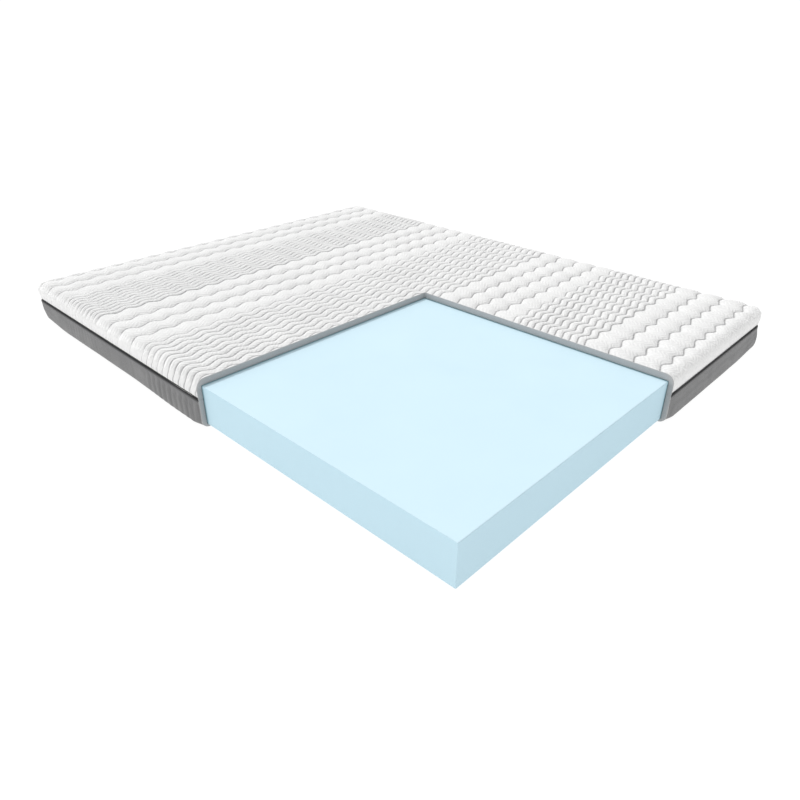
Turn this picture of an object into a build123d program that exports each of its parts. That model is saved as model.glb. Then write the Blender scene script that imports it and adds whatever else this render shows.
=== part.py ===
from build123d import *

import os

# Memory foam mattress for a 1600 x 2000 mm bed: a foam block in a quilted cover. A zip runs round the
# cover's side and splits it into an upper and a lower half. The cover is cut away at one corner.
#
# Frame: origin at the middle of the underside, +Z up, +Y towards the head end, +X across the width.
# The cut-away corner is the one at -X, -Y. "Depth" is a distance in from the cover's outer side face.

# Overall sizes
MATTRESS_WIDTH = 1600.0
MATTRESS_LENGTH = 2000.0
FOAM_HEIGHT = 120.0

# Layers of the cover, from the outside in
KNIT = 2.0
SIDE_WADDING = 11.1
TOP_WADDING = 16.1
BOTTOM_WADDING = 5.6
LINING = 1.5
FOAM_CLEARANCE = 0.4
PANEL_DROP = 0.5

# Rounding of the cover and of the foam
PLAN_RADIUS = 40.0
SHARPEST_CORNER = 2.0
TOP_EDGE_RADIUS = 28.0
BOTTOM_EDGE_RADIUS = 22.0
INNER_EDGE_RADIUS = 3.0
FOAM_EDGE_RADIUS = 2.0
EXPOSED_CORNER_RADIUS = 3.0

# The missing corner of the cover, measured from the outer side faces, and the binding on its edge
CUTAWAY_WIDTH = 905.0
CUTAWAY_LENGTH = 903.0
BINDING = 3.0
BINDING_GAP = 0.6

# The seam between the side band and the underside panel
SEAM_MARGIN = 8.0
SEAM_TAPE = 1.0

# Zip: the height of its centre line, and the room round the slider in the groove that it lies in
ZIP_HEIGHT = 91.0
GROOVE_CLEARANCE = 0.6
CROWN_RECESS = 0.1
LINING_GAP = 1.0

# Zip tapes and teeth
TAPE_THICKNESS = 1.0
TAPE_SEAM = 8.0
TAPE_GAP = 1.8
TEETH_GAP = 1.2
TEETH_HEIGHT = 3.0
TEETH_THICKNESS = 2.2

# Zip slider, its stops and its park position
SLIDER_LENGTH = 16.0
SLIDER_PLATE = 1.2
SLIDER_CLEARANCE = 0.3
SLIDER_LIP = 1.0
SLIDER_CORNER_RADIUS = 2.0
DIVIDER_LENGTH = 4.0
DIVIDER_OFFSET = 5.0
PARK_FROM_CORNER = 35.0
PARK_GAP = 1.0
STOP_LENGTH = 4.0
STOP_PROUD = 0.4

# Crown of the slider and the pull that hangs on it
CROWN_LENGTH = 4.4
CROWN_HEIGHT = 4.0
CROWN_PROJECTION = 3.2
PIN_RADIUS = 0.7
PIN_CLEARANCE = 0.15
PULL_THICKNESS = 1.4
PULL_LENGTH = 28.0
PULL_ARM = 1.0
PULL_EYE = 3.2

# Heights and depths that follow from the layers
SIDE_LAYERS = KNIT + SIDE_WADDING + LINING
FOAM_WIDTH = MATTRESS_WIDTH - 2 * (SIDE_LAYERS + FOAM_CLEARANCE)
FOAM_LENGTH = MATTRESS_LENGTH - 2 * (SIDE_LAYERS + FOAM_CLEARANCE)
FOAM_BOTTOM = PANEL_DROP + KNIT + BOTTOM_WADDING + LINING + FOAM_CLEARANCE
FOAM_TOP = FOAM_BOTTOM + FOAM_HEIGHT
TOTAL_HEIGHT = FOAM_TOP + FOAM_CLEARANCE + LINING + TOP_WADDING + KNIT
SEAM_INSET = BOTTOM_EDGE_RADIUS + SEAM_MARGIN
SLIDER_HALF_HEIGHT = TEETH_GAP / 2 + TEETH_HEIGHT + SLIDER_CLEARANCE + SLIDER_LIP
GROOVE_HEIGHT = 2 * (SLIDER_HALF_HEIGHT + GROOVE_CLEARANCE)
CROWN_BACK = CROWN_RECESS + CROWN_PROJECTION
PLATE_BACK = CROWN_BACK + SLIDER_PLATE
TEETH_FRONT = PLATE_BACK + SLIDER_CLEARANCE
GROOVE_DEPTH = TEETH_FRONT + TEETH_THICKNESS
GROOVE_TOP = ZIP_HEIGHT + GROOVE_HEIGHT / 2
GROOVE_BOTTOM = ZIP_HEIGHT - GROOVE_HEIGHT / 2
TAPE_BACK = GROOVE_DEPTH + TAPE_THICKNESS
PIN_DEPTH = CROWN_RECESS + CROWN_PROJECTION / 2
PARK_Y = MATTRESS_LENGTH / 2 - PLAN_RADIUS - PARK_FROM_CORNER


def plan_block(depth, low, high):
    """A block with rounded corners whose sides lie at a depth, between two heights."""
    radius = max(PLAN_RADIUS - depth, SHARPEST_CORNER)
    outline = RectangleRounded(MATTRESS_WIDTH - 2 * depth, MATTRESS_LENGTH - 2 * depth, radius)
    return Pos(0, 0, low) * extrude(outline, high - low)


def ring(outer_depth, inner_depth, low, high):
    """A strip that runs round the mattress between two depths and two heights."""
    return plan_block(outer_depth, low, high) - plan_block(inner_depth, low, high)


def envelope(depth, low, high, top_radius, bottom_radius):
    """The whole mattress shape at a depth, with its top and bottom edges rounded."""
    block = plan_block(depth, low, high)
    block = fillet(block.edges().group_by(Axis.Z)[-1], top_radius)
    return fillet(block.edges().group_by(Axis.Z)[0], bottom_radius)


def slab(height, z_align):
    """A block wider and taller than the mattress, with its low or high face at a height."""
    placing = (Align.CENTER, Align.CENTER, z_align)
    block = Box(2 * MATTRESS_WIDTH, 2 * MATTRESS_LENGTH, 2 * TOTAL_HEIGHT, align=placing)
    return Pos(0, 0, height) * block


def above(height):
    """All space over a height."""
    return slab(height, Align.MIN)


def below(height):
    """All space under a height."""
    return slab(height, Align.MAX)


def cutaway(margin):
    """The space of the missing corner, grown by a margin into the cover."""
    corner_x = CUTAWAY_WIDTH + margin - MATTRESS_WIDTH / 2
    corner_y = CUTAWAY_LENGTH + margin - MATTRESS_LENGTH / 2
    placing = (Align.MAX, Align.MAX, Align.CENTER)
    block = Box(MATTRESS_WIDTH, MATTRESS_LENGTH, 4 * TOTAL_HEIGHT, align=placing)
    return Pos(corner_x, corner_y, 0) * block


# The surfaces between the cover's layers, each one a closed shape
OUTER = envelope(0, PANEL_DROP, TOTAL_HEIGHT, TOP_EDGE_RADIUS, BOTTOM_EDGE_RADIUS)
UNDER_KNIT = envelope(
    KNIT, PANEL_DROP + KNIT, TOTAL_HEIGHT - KNIT, TOP_EDGE_RADIUS - KNIT, BOTTOM_EDGE_RADIUS - KNIT
)
UNDER_WADDING = envelope(
    KNIT + SIDE_WADDING,
    FOAM_BOTTOM - FOAM_CLEARANCE - LINING,
    FOAM_TOP + FOAM_CLEARANCE + LINING,
    INNER_EDGE_RADIUS,
    INNER_EDGE_RADIUS,
)
CAVITY = plan_block(SIDE_LAYERS, FOAM_BOTTOM - FOAM_CLEARANCE, FOAM_TOP + FOAM_CLEARANCE)
CUT_LAYERS = cutaway(BINDING)


def upper_hem():
    """The knit turned in under the wadding, down to the upper zip tape."""
    return ring(KNIT, GROOVE_DEPTH, GROOVE_TOP, GROOVE_TOP + KNIT)


def lower_hem():
    """The knit turned in over the side band's wadding, down to the lower zip tape."""
    return ring(KNIT, GROOVE_DEPTH, GROOVE_BOTTOM - KNIT, GROOVE_BOTTOM)


def upper_tape_ring():
    return ring(GROOVE_DEPTH, TAPE_BACK, ZIP_HEIGHT + TAPE_GAP / 2, GROOVE_TOP + TAPE_SEAM)


def lower_tape_ring():
    return ring(GROOVE_DEPTH, TAPE_BACK, GROOVE_BOTTOM - TAPE_SEAM, ZIP_HEIGHT - TAPE_GAP / 2)


def seam_tape_ring():
    low = PANEL_DROP + KNIT
    return ring(SEAM_INSET - SEAM_MARGIN, SEAM_INSET + SEAM_MARGIN, low, low + SEAM_TAPE)


def foam_core():
    """The foam block: rounded where the cover pulls it in, and sharp at the cut-away corner."""
    block = Pos(0, 0, FOAM_BOTTOM) * Box(
        FOAM_WIDTH, FOAM_LENGTH, FOAM_HEIGHT, align=(Align.CENTER, Align.CENTER, Align.MIN)
    )
    uprights = block.edges().filter_by(Axis.Z).sort_by(Axis((0, 0, 0), (1, 1, 0)))
    exposed = uprights[0].center()
    block = fillet(uprights[1:], PLAN_RADIUS - SIDE_LAYERS - FOAM_CLEARANCE)
    block = fillet(block.edges().filter_by(Axis.Z).sort_by_distance(exposed)[0], EXPOSED_CORNER_RADIUS)
    rims = block.edges().group_by(Axis.Z)
    return fillet(rims[-1] + rims[0], FOAM_EDGE_RADIUS)


def top_knit():
    skin = (OUTER - UNDER_KNIT) & above(GROOVE_TOP)
    return skin + upper_hem() - CUT_LAYERS


def top_wadding():
    fill = (UNDER_KNIT - UNDER_WADDING) & above(GROOVE_TOP)
    return fill - upper_hem() - upper_tape_ring() - CUT_LAYERS


def top_lining():
    return ((UNDER_WADDING - CAVITY) & above(ZIP_HEIGHT + LINING_GAP / 2)) - CUT_LAYERS


def side_band_knit():
    skin = (OUTER - UNDER_KNIT) & below(GROOVE_BOTTOM)
    return skin + lower_hem() - plan_block(SEAM_INSET, 0, FOAM_BOTTOM) - CUT_LAYERS


def side_band_wadding():
    fill = (UNDER_KNIT - UNDER_WADDING) & below(GROOVE_BOTTOM)
    fill = fill - plan_block(SEAM_INSET, 0, FOAM_BOTTOM) - seam_tape_ring()
    return fill - lower_hem() - lower_tape_ring() - CUT_LAYERS


def lower_lining():
    return ((UNDER_WADDING - CAVITY) & below(ZIP_HEIGHT - LINING_GAP / 2)) - CUT_LAYERS


def bottom_panel_fabric():
    """The underside fabric, which stands a little proud of the side band's turned-under edge."""
    return plan_block(SEAM_INSET, 0, PANEL_DROP + KNIT) - CUT_LAYERS


def bottom_panel_wadding():
    low = PANEL_DROP + KNIT
    return plan_block(SEAM_INSET, low, low + BOTTOM_WADDING) - seam_tape_ring() - CUT_LAYERS


def bottom_seam_tape():
    return seam_tape_ring() - CUT_LAYERS


def cut_binding():
    """The binding that closes the layers' cut edges, down one side, across and down the other."""
    return (OUTER - CAVITY) & (cutaway(BINDING) - cutaway(0))


def upper_zip_tape():
    return upper_tape_ring() - CUT_LAYERS


def lower_zip_tape():
    return lower_tape_ring() - CUT_LAYERS


def side_box(outer_depth, inner_depth, y_low, y_high, z_low, z_high):
    """A block in the +X side wall, given by its depths, its Y span and its heights over the zip line."""
    low_corner = Pos(MATTRESS_WIDTH / 2 - inner_depth, y_low, ZIP_HEIGHT + z_low)
    return low_corner * Box(
        inner_depth - outer_depth, y_high - y_low, z_high - z_low, align=(Align.MIN, Align.MIN, Align.MIN)
    )


def stop_span():
    """Where the stops begin and end along Y, just past the parked slider."""
    start = PARK_Y + SLIDER_LENGTH / 2 + PARK_GAP
    return start, start + STOP_LENGTH


def upper_zip_teeth():
    """The upper row, open where the slider parks so that the upper half lifts off it."""
    low = ZIP_HEIGHT + TEETH_GAP / 2
    row = ring(TEETH_FRONT, GROOVE_DEPTH, low, low + TEETH_HEIGHT)
    gap = side_box(0, GROOVE_DEPTH, PARK_Y - SLIDER_LENGTH / 2 - PARK_GAP, stop_span()[1], 0, GROOVE_HEIGHT)
    return row - gap - CUT_LAYERS


def lower_zip_teeth():
    high = ZIP_HEIGHT - TEETH_GAP / 2
    row = ring(TEETH_FRONT, GROOVE_DEPTH, high - TEETH_HEIGHT, high)
    gap = side_box(0, GROOVE_DEPTH, *stop_span(), -GROOVE_HEIGHT, 0)
    return row - gap - CUT_LAYERS


def zip_stop(side):
    """A stop crimped on one row, a little larger than the teeth: side is 1 for upper, -1 for lower."""
    near = TEETH_GAP / 2
    far = near + TEETH_HEIGHT + STOP_PROUD
    heights = sorted((side * near, side * far))
    return side_box(TEETH_FRONT - STOP_PROUD, GROOVE_DEPTH, *stop_span(), *heights)


def slider_body():
    """The slider's front plate, the lips over the teeth, the divider and the back plate."""
    start, end = PARK_Y - SLIDER_LENGTH / 2, PARK_Y + SLIDER_LENGTH / 2
    lip_high = SLIDER_HALF_HEIGHT
    lip_low = lip_high - SLIDER_LIP
    back_plate_front = TAPE_BACK + SLIDER_CLEARANCE
    front = side_box(CROWN_BACK, PLATE_BACK, start, end, -lip_high, lip_high)
    front = fillet(front.edges().filter_by(Axis.X), SLIDER_CORNER_RADIUS)
    back = side_box(back_plate_front, back_plate_front + SLIDER_PLATE, start, end, -lip_low, lip_low)
    back = fillet(back.edges().filter_by(Axis.X), SLIDER_CORNER_RADIUS)
    divider_half = TEETH_GAP / 2 - SLIDER_CLEARANCE
    divider = side_box(
        PLATE_BACK,
        back_plate_front,
        PARK_Y + DIVIDER_OFFSET - DIVIDER_LENGTH / 2,
        PARK_Y + DIVIDER_OFFSET + DIVIDER_LENGTH / 2,
        -divider_half,
        divider_half,
    )
    body = front + back + divider
    lip_start, lip_end = start + SLIDER_CORNER_RADIUS, end - SLIDER_CORNER_RADIUS
    for low, high in ((lip_low, lip_high), (-lip_high, -lip_low)):
        body += side_box(PLATE_BACK, GROOVE_DEPTH - SLIDER_CLEARANCE, lip_start, lip_end, low, high)
    return body


def pin_axis(radius, height):
    """An upright round bar on the pull's hinge line."""
    return Pos(MATTRESS_WIDTH / 2 - PIN_DEPTH, PARK_Y, ZIP_HEIGHT) * Cylinder(radius, height)


def slider_crown():
    """The bridge on the slider's face, with the hole that the pull's pin turns in."""
    block = side_box(
        CROWN_RECESS,
        CROWN_BACK,
        PARK_Y - CROWN_LENGTH / 2,
        PARK_Y + CROWN_LENGTH / 2,
        -CROWN_HEIGHT / 2,
        CROWN_HEIGHT / 2,
    )
    return block - pin_axis(PIN_RADIUS + PIN_CLEARANCE, 2 * CROWN_HEIGHT)


def pull_tab():
    """The pull: a pin through the crown, two arms beside it and a flat tab towards -Y."""
    outer, inner = PIN_DEPTH - PULL_THICKNESS / 2, PIN_DEPTH + PULL_THICKNESS / 2
    arm_low = CROWN_HEIGHT / 2 + SLIDER_CLEARANCE
    arm_high = arm_low + PULL_ARM
    tab = side_box(outer, inner, PARK_Y - PULL_LENGTH, PARK_Y - PULL_EYE, -arm_high, arm_high)
    tab_end = tab.edges().filter_by(Axis.X).group_by(Axis.Y)[0]
    pull = fillet(tab_end, arm_high / 2)
    for low, high in ((arm_low, arm_high), (-arm_high, -arm_low)):
        pull += side_box(outer, inner, PARK_Y - PULL_EYE, PARK_Y, low, high)
    return pull + pin_axis(PIN_RADIUS, 2 * arm_high)


NODES = {
    "foam_core": foam_core(),
    "top_knit": top_knit(),
    "top_wadding": top_wadding(),
    "top_lining": top_lining(),
    "upper_cut_binding": cut_binding() & above(ZIP_HEIGHT + BINDING_GAP / 2),
    "upper_zip_tape": upper_zip_tape(),
    "upper_zip_teeth": upper_zip_teeth(),
    "upper_zip_stop": zip_stop(1),
    "side_band_knit": side_band_knit(),
    "side_band_wadding": side_band_wadding(),
    "lower_lining": lower_lining(),
    "lower_cut_binding": cut_binding() & below(ZIP_HEIGHT - BINDING_GAP / 2),
    "bottom_panel_fabric": bottom_panel_fabric(),
    "bottom_panel_wadding": bottom_panel_wadding(),
    "bottom_seam_tape": bottom_seam_tape(),
    "lower_zip_tape": lower_zip_tape(),
    "lower_zip_teeth": lower_zip_teeth(),
    "lower_zip_stop": zip_stop(-1),
    "slider_body": slider_body(),
    "slider_crown": slider_crown(),
    "pull_tab": pull_tab(),
}

os.makedirs("parts", exist_ok=True)
for name, shape in NODES.items():
    export_step(shape, f"parts/{name}.step")
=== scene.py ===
import math

import bmesh
import bpy
import numpy as np
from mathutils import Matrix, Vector


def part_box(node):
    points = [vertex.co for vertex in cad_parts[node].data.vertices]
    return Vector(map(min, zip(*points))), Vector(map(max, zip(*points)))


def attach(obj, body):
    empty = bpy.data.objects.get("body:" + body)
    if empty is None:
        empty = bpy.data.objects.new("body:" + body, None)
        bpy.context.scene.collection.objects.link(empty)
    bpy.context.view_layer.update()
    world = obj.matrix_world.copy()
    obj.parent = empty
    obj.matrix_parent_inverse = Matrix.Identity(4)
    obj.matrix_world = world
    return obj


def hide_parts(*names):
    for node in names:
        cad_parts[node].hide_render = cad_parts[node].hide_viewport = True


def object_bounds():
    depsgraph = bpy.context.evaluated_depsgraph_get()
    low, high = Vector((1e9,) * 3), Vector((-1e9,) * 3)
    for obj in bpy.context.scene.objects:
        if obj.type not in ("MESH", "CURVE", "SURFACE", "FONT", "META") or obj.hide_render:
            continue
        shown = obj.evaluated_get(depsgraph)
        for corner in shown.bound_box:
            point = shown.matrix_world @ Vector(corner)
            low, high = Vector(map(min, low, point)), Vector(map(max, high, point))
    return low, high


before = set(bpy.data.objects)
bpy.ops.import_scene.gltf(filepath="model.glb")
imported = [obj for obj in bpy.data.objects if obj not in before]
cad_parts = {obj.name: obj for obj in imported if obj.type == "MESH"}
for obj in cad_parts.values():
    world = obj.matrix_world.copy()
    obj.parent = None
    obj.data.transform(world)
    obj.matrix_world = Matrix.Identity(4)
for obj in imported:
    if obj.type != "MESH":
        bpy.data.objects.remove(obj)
CAD_LOW, CAD_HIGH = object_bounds()

# All sizes are in metres. +Z is up, +Y is the head end, and the cover is cut away at the -X, -Y corner.
# "Depth" is a distance in from the cover's outer side face, as in the CAD.
HALF_X = (CAD_HIGH.x - CAD_LOW.x) / 2
HALF_Y = (CAD_HIGH.y - CAD_LOW.y) / 2
TOP_Z = CAD_HIGH.z

# Rounding of the cover, as built in the CAD
PLAN_RADIUS = 0.040
TOP_EDGE_RADIUS = 0.028
BOTTOM_EDGE_RADIUS = 0.022

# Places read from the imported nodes
BINDING = 0.003
CUT_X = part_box("upper_cut_binding")[1].x - BINDING
CUT_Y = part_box("upper_cut_binding")[1].y - BINDING
UPPER_BINDING_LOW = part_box("upper_cut_binding")[0].z
LOWER_BINDING_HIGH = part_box("lower_cut_binding")[1].z
GROOVE_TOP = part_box("top_knit")[0].z
GROOVE_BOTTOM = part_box("side_band_knit")[1].z
BAND_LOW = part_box("side_band_knit")[0].z
TAPE_FRONT = HALF_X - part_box("upper_zip_tape")[1].x
TEETH_FRONT = HALF_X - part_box("upper_zip_teeth")[1].x
SEAM_DEPTH = HALF_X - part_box("bottom_panel_fabric")[1].x
LINING_FRONT = HALF_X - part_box("top_lining")[1].x
FOAM_LOW, FOAM_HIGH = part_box("foam_core")
FOAM_CLEARANCE = 0.0004
CAVITY_DEPTH = HALF_X - FOAM_HIGH.x - FOAM_CLEARANCE
CAVITY_TOP = FOAM_HIGH.z + FOAM_CLEARANCE
CAVITY_LOW = FOAM_LOW.z - FOAM_CLEARANCE


# ---------------------------------------------------------------- small helpers

def smoothstep(low, high, value):
    t = np.clip((value - low) / (high - low), 0, 1)
    return t * t * (3 - 2 * t)


def soft_noise(x, y, size, seed):
    """Smooth, repeatable unevenness between -1 and 1 over distances of about size."""
    rng = np.random.default_rng(seed)
    total = np.zeros(np.broadcast(x, y).shape)
    waves = 7
    for _ in range(waves):
        angle, phase = rng.uniform(0, 2 * math.pi, 2)
        pitch = size * rng.uniform(0.7, 1.6)
        total += np.sin(2 * math.pi * (x * math.cos(angle) + y * math.sin(angle)) / pitch + phase)
    return total / waves * 1.6


def make_piece(name, points, faces, materials, material_of_face=None, smooth=True):
    """A mesh object from points and faces, with its materials."""
    mesh = bpy.data.meshes.new(name)
    mesh.from_pydata(np.asarray(points, float).tolist(), [], faces)
    for material in materials:
        mesh.materials.append(material)
    if material_of_face is not None:
        mesh.polygons.foreach_set("material_index", np.asarray(material_of_face, np.int32))
    mesh.polygons.foreach_set("use_smooth", np.full(len(mesh.polygons), smooth))
    mesh.update()
    piece = bpy.data.objects.new(name, mesh)
    bpy.context.scene.collection.objects.link(piece)
    return piece


def add_attribute(piece, name, values):
    attribute = piece.data.attributes.new(name, "FLOAT", "POINT")
    attribute.data.foreach_set("value", np.asarray(values, np.float32))


def sharpen(piece, degrees):
    """Keeps hard edges hard on a smooth-shaded piece."""
    bm = bmesh.new()
    bm.from_mesh(piece.data)
    limit = math.radians(degrees)
    for edge in bm.edges:
        edge.smooth = len(edge.link_faces) == 2 and edge.calc_face_angle(0) < limit
    bm.to_mesh(piece.data)
    bm.free()


def grid_faces(rows, columns, close_columns=False):
    """Quads of a grid of rows x columns points, in row order."""
    index = np.arange(rows * columns).reshape(rows, columns)
    if close_columns:
        index = np.concatenate([index, index[:, :1]], axis=1)
    a, b, c, d = index[:-1, :-1], index[:-1, 1:], index[1:, 1:], index[1:, :-1]
    return np.stack([a, b, c, d], -1).reshape(-1, 4).tolist()


# ---------------------------------------------------------------- materials

def new_material(name):
    material = bpy.data.materials.new(name)
    material.use_nodes = True
    nodes, links = material.node_tree.nodes, material.node_tree.links
    return material, nodes, links, nodes["Principled BSDF"]


def coordinates(nodes, links, scale):
    """Object coordinates in millimetres times a scale for each axis."""
    where = nodes.new("ShaderNodeTexCoord")
    mapping = nodes.new("ShaderNodeMapping")
    mapping.inputs["Scale"].default_value = [s * 1000 for s in scale]
    links.new(where.outputs["Object"], mapping.inputs["Vector"])
    return mapping.outputs["Vector"]


def noise(nodes, links, vector, scale, detail=3.0, roughness=0.5):
    node = nodes.new("ShaderNodeTexNoise")
    node.inputs["Scale"].default_value = scale
    node.inputs["Detail"].default_value = detail
    node.inputs["Roughness"].default_value = roughness
    links.new(vector, node.inputs["Vector"])
    return node.outputs["Fac"]


def wave(nodes, links, vector, scale, direction, distortion=0.0):
    node = nodes.new("ShaderNodeTexWave")
    node.wave_type = "BANDS"
    node.bands_direction = direction
    node.inputs["Scale"].default_value = scale
    node.inputs["Distortion"].default_value = distortion
    node.inputs["Detail"].default_value = 1.0
    node.inputs["Detail Scale"].default_value = 1.5
    links.new(vector, node.inputs["Vector"])
    return node.outputs["Fac"]


def voronoi(nodes, links, vector, scale, feature="F1", randomness=1.0):
    node = nodes.new("ShaderNodeTexVoronoi")
    node.feature = feature
    node.inputs["Scale"].default_value = scale
    node.inputs["Randomness"].default_value = randomness
    links.new(vector, node.inputs["Vector"])
    return node.outputs["Distance"]


def math_node(nodes, links, operation, first, second=None, third=None, clamp=False):
    node = nodes.new("ShaderNodeMath")
    node.operation = operation
    node.use_clamp = clamp
    for socket, value in zip(node.inputs, (first, second, third)):
        if value is None:
            continue
        if isinstance(value, (int, float)):
            socket.default_value = value
        else:
            links.new(value, socket)
    return node.outputs["Value"]


def mixed_tone(nodes, links, first, first_share, second, second_share):
    """Two tones added up, each with its own share."""
    scaled = math_node(nodes, links, "MULTIPLY", second, second_share)
    return math_node(nodes, links, "MULTIPLY_ADD", first, first_share, scaled)


def ramp(nodes, links, factor, stops):
    """A colour ramp with (place, colour) stops."""
    node = nodes.new("ShaderNodeValToRGB")
    elements = node.color_ramp.elements
    while len(elements) < len(stops):
        elements.new(0.5)
    for element, (place, colour) in zip(elements, stops):
        element.position = place
        element.color = (*colour, 1.0)
    links.new(factor, node.inputs["Fac"])
    return node.outputs["Color"]


def value_range(nodes, links, value, low, high, to_low, to_high):
    node = nodes.new("ShaderNodeMapRange")
    node.inputs["From Min"].default_value = low
    node.inputs["From Max"].default_value = high
    node.inputs["To Min"].default_value = to_low
    node.inputs["To Max"].default_value = to_high
    links.new(value, node.inputs["Value"])
    return node.outputs["Result"]


def bump(nodes, links, height, strength, distance, below=None):
    node = nodes.new("ShaderNodeBump")
    node.inputs["Strength"].default_value = strength
    node.inputs["Distance"].default_value = distance
    links.new(height, node.inputs["Height"])
    if below is not None:
        links.new(below, node.inputs["Normal"])
    return node.outputs["Normal"]


def attribute(nodes, name):
    node = nodes.new("ShaderNodeAttribute")
    node.attribute_name = name
    return node.outputs["Fac"]


def jacquard(nodes, links):
    """A knitted-in figure of slanting leaves that change direction from row to row."""
    one_way = wave(nodes, links, coordinates(nodes, links, (0.8, 1.0, 0.5)), 0.045, "DIAGONAL", 3.5)
    other_way = wave(nodes, links, coordinates(nodes, links, (-0.8, 1.0, 0.5)), 0.045, "DIAGONAL", 3.5)
    rows = wave(nodes, links, coordinates(nodes, links, (1, 1, 1)), 0.006, "X", 4.0)
    choice = value_range(nodes, links, rows, 0.4, 0.6, 0.0, 1.0)
    first = math_node(nodes, links, "MULTIPLY", one_way, choice)
    other_choice = math_node(nodes, links, "SUBTRACT", 1.0, choice)
    second = math_node(nodes, links, "MULTIPLY", other_way, other_choice)
    return math_node(nodes, links, "ADD", first, second)


# Tones of the white knit. The darkest stops are painted crease shade, used only at the quilting lines;
# the palest is reached only with the painted light on the side faces.
WHITE_KNIT_TONES = (
    (0.0, (0.13, 0.13, 0.133)),
    (0.45, (0.48, 0.48, 0.483)),
    (0.80, (0.69, 0.69, 0.688)),
    (0.88, (0.73, 0.73, 0.728)),
    (1.0, (0.88, 0.88, 0.876)),
)


def white_knit_material():
    """White jersey knit with fine wales, soft fuzz and thread stitches along the quilting lines; painted
    shade darkens it at the lines, and painted light makes its side faces paler.
    """
    material, nodes, links, shader = new_material("white_knit")
    where = coordinates(nodes, links, (1, 1, 1))
    wales = wave(nodes, links, where, 0.22, "X", 0.6)
    courses = wave(nodes, links, where, 0.30, "Y", 0.6)
    loops = math_node(nodes, links, "MULTIPLY", wales, courses)
    fuzz = noise(nodes, links, where, 0.9, 4.0, 0.6)
    patches = noise(nodes, links, where, 0.012, 2.0)
    leaves = jacquard(nodes, links)
    distance = attribute(nodes, "seam_distance")
    run = attribute(nodes, "seam_run")
    stitch_phase = math_node(nodes, links, "FRACT", math_node(nodes, links, "MULTIPLY", run, 1 / 0.0042))
    stitch_gap = math_node(nodes, links, "COMPARE", stitch_phase, 0.9, 0.1)
    in_line = value_range(nodes, links, distance, 0.0005, 0.0011, 1.0, 0.0)
    sewn = math_node(nodes, links, "SUBTRACT", 1.0, stitch_gap)
    thread = math_node(nodes, links, "MULTIPLY", in_line, sewn)
    # Painted shade: the knit is painted darker within about 4 mm of each quilting line, standing in for
    # the shade in the creases.
    painted_crease_shade = value_range(nodes, links, distance, 0.0003, 0.0042, 0.0, 1.0)
    tone = mixed_tone(nodes, links, fuzz, 0.22, patches, 0.18)
    tone = math_node(nodes, links, "MULTIPLY_ADD", leaves, 0.11, tone)
    tone = math_node(nodes, links, "MULTIPLY_ADD", painted_crease_shade, 0.56, tone)
    # Painted light: the cover's side faces are painted paler, by the attribute that quilted_surface
    # makes.
    tone = math_node(nodes, links, "MULTIPLY_ADD", attribute(nodes, "skirt_painted_light"), 0.30, tone, clamp=True)
    colour = ramp(nodes, links, tone, WHITE_KNIT_TONES)
    links.new(colour, shader.inputs["Base Color"])
    knit = bump(nodes, links, loops, 0.5, 0.0004)
    figured = bump(nodes, links, leaves, 0.75, 0.0012, knit)
    soft = bump(nodes, links, fuzz, 0.35, 0.0008, figured)
    links.new(bump(nodes, links, thread, 0.9, 0.0006, soft), shader.inputs["Normal"])
    rough = value_range(nodes, links, fuzz, 0.2, 0.8, 0.82, 0.96)
    links.new(rough, shader.inputs["Roughness"])
    shader.inputs["Sheen Weight"].default_value = 0.15
    shader.inputs["Sheen Roughness"].default_value = 0.5
    return material


def lining_material():
    """Thin off-white non-woven with crossed fibres and a pattern of small pressed dots."""
    material, nodes, links, shader = new_material("lining")
    where = coordinates(nodes, links, (1, 1, 1))
    fibres = noise(nodes, links, coordinates(nodes, links, (0.25, 2.2, 1.0)), 0.8, 5.0, 0.7)
    dots = voronoi(nodes, links, where, 0.45, "F1", 0.0)
    pressed = value_range(nodes, links, dots, 0.16, 0.26, 0.0, 1.0)
    tone = mixed_tone(nodes, links, fibres, 0.6, pressed, 0.4)
    colour = ramp(nodes, links, tone, ((0.0, (0.55, 0.56, 0.56)), (1.0, (0.83, 0.83, 0.82))))
    links.new(colour, shader.inputs["Base Color"])
    links.new(bump(nodes, links, tone, 0.5, 0.0003), shader.inputs["Normal"])
    links.new(value_range(nodes, links, fibres, 0.2, 0.8, 0.7, 0.9), shader.inputs["Roughness"])
    return material


GREY_KNIT_TONES = (
    (0.15, (0.10, 0.10, 0.102)),
    (0.55, (0.166, 0.166, 0.168)),
    (0.9, (0.232, 0.232, 0.234)),
)


def grey_knit_material():
    """Grey spacer knit of the side band: fine upright ribs crossed by small open loops."""
    material, nodes, links, shader = new_material("grey_knit")
    where = coordinates(nodes, links, (1, 1, 1))
    cells = voronoi(nodes, links, coordinates(nodes, links, (1, 1, 0.7)), 0.42, "F1", 0.25)
    loops = value_range(nodes, links, cells, 0.15, 0.6, 0.0, 1.0)
    fuzz = noise(nodes, links, where, 1.3, 4.0, 0.6)
    patches = noise(nodes, links, coordinates(nodes, links, (1, 1, 0.4)), 0.02, 3.0)
    tone = mixed_tone(nodes, links, loops, 0.35, fuzz, 0.30)
    tone = math_node(nodes, links, "MULTIPLY_ADD", patches, 0.45, tone)
    colour = ramp(nodes, links, tone, GREY_KNIT_TONES)
    links.new(colour, shader.inputs["Base Color"])
    knit = bump(nodes, links, loops, 0.6, 0.0005)
    links.new(bump(nodes, links, fuzz, 0.3, 0.0006, knit), shader.inputs["Normal"])
    links.new(value_range(nodes, links, fuzz, 0.2, 0.8, 0.78, 0.95), shader.inputs["Roughness"])
    shader.inputs["Sheen Weight"].default_value = 0.2
    shader.inputs["Sheen Roughness"].default_value = 0.45
    return material


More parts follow.
